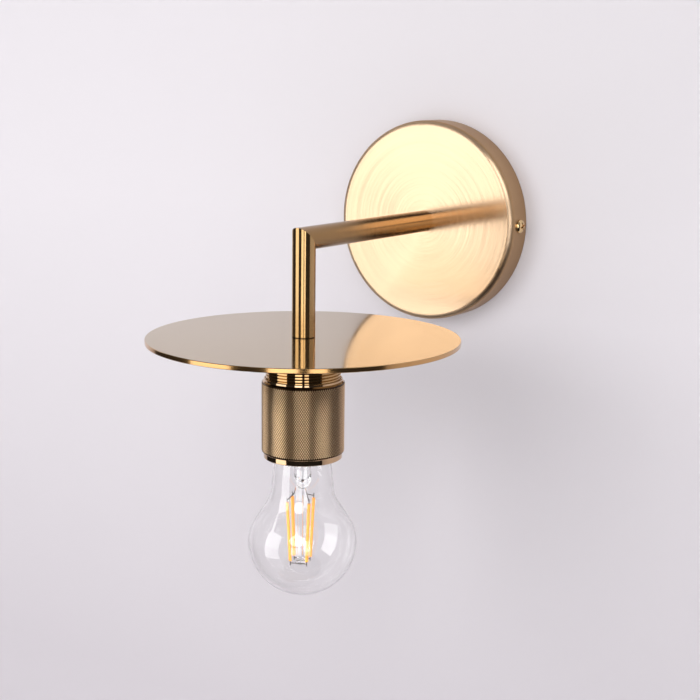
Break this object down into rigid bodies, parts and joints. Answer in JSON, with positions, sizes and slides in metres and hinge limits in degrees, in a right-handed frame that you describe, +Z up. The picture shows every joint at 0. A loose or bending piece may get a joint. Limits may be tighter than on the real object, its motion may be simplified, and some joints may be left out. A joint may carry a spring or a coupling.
{
  "type": "wall sconce",
  "caption": "Electric wall sconce: round brass wall plate, mitred arm, flat disc shade, knurled threaded lampholder and clear screw-in filament bulb.",
  "frame": {"origin": "centre of the wall bracket on the wall plane, at the height of the arm's axis", "axes": "+Z up, +Y into the wall, so the room and the lamp are on the -Y side; +X to the right for someone facing the wall"},
  "size_m": [0.17, 0.226, 0.2578],
  "materials": {
    "wall_plate_brass": "satin, brushed in circles",
    "arm_brass": "satin, darkened bronze tone",
    "drop_tube_brass": "polished with light brushing",
    "disc_brass": "near mirror polish",
    "thread_brass": "mirror polished thread",
    "knurl_brass": "knurled, bronzed in the grooves",
    "screw_brass": "polished",
    "earth_screw_brass": "plain turned",
    "terminal_brass": "plain turned",
    "tinned_brass": "tinned",
    "contact_bronze": "spring bronze",
    "zinc_steel": "zinc plated",
    "nipple_steel": "yellow zinc plated",
    "cap_metal": "nickel plated thin shell",
    "contact_solder": "soldered contact",
    "lead_metal": "fine nickel and copper wire",
    "terminal_plastic": "moulded nylon",
    "earth_insulation": "green insulation with a yellow stripe",
    "live_insulation": "brown insulation",
    "neutral_insulation": "blue insulation",
    "liner_fibre": "pressed fibre tube",
    "black_glass": "black vitrified insulator",
    "driver_board": "coated circuit board with its parts",
    "filament_phosphor": "yellow phosphor silicone",
    "bulb_glass": "clear blown glass",
    "stem_glass": "clear drawn glass",
    "porcelain": "white glazed porcelain"
  },
  "bodies": {
    "fixture": {"wall_plate": "wall_plate_brass", "wall_bracket": "zinc_steel", "side_screw_right": "screw_brass", "side_screw_left": "screw_brass", "arm_nipple": "nipple_steel", "arm_washer": "zinc_steel", "arm_earth_tag": "tinned_brass", "arm_lock_washer": "zinc_steel", "arm_nut": "nipple_steel", "strap_earth_tag": "tinned_brass", "earth_spacer": "zinc_steel", "earth_screw": "earth_screw_brass", "earth_wire": "earth_insulation", "terminal_block": "terminal_plastic", "terminal_barrel_live": "terminal_brass", "terminal_barrel_neutral": "terminal_brass", "terminal_screws": "zinc_steel", "block_screw": "zinc_steel", "arm_tube": "arm_brass", "drop_tube": "drop_tube_brass", "disc_shade": "disc_brass", "drop_nipple": "nipple_steel", "holder_lock_washer": "zinc_steel", "holder_nut": "nipple_steel", "threaded_barrel": "thread_brass", "ceramic_insert": "porcelain", "insert_grub_screws": "zinc_steel", "live_post": "terminal_brass", "neutral_post": "terminal_brass", "post_screws": "zinc_steel", "screw_shell": "terminal_brass", "contact_tongue": "contact_bronze", "live_wire": "live_insulation", "neutral_wire": "neutral_insulation"},
    "bulb_contact": {"bulb_contact": "contact_solder"},
    "bulb": {"bulb_glass": "bulb_glass", "bulb_cap": "cap_metal", "bulb_insulator": "black_glass", "bulb_driver": "driver_board", "bulb_stem": "stem_glass", "mount_rod": "stem_glass", "filament_leads": "lead_metal", "led_filament_1": "filament_phosphor", "led_filament_2": "filament_phosphor", "led_filament_3": "filament_phosphor", "led_filament_4": "filament_phosphor"},
    "sleeve_liner": {"insulating_liner": "liner_fibre"},
    "sleeve": {"knurled_sleeve": "knurl_brass"}
  },
  "joints": [
    {"name": "bulb_travel", "type": "slide", "parent": "fixture", "child": "bulb_contact", "axis": [0, 0, -1], "range_m": [0, 0.0182]},
    {"name": "bulb_turn", "type": "hinge", "parent": "bulb_contact", "child": "bulb", "pos_m": [0, -0.141, -0.093], "axis": [0, 0, -1], "range_deg": [0, 1800]},
    {"name": "sleeve_travel", "type": "slide", "parent": "fixture", "child": "sleeve_liner", "axis": [0, 0, -1], "range_m": [0, 0.0177]},
    {"name": "sleeve_turn", "type": "hinge", "parent": "sleeve_liner", "child": "sleeve", "pos_m": [0, -0.141, -0.0754], "axis": [0, 0, -1], "range_deg": [0, 3960]}
  ],
  "couplings": [
    {"joint": "bulb_travel", "follows": "bulb_turn", "m_per_rad": 0.0005775},
    {"joint": "sleeve_travel", "follows": "sleeve_turn", "m_per_rad": 0.00025465}
  ]
}
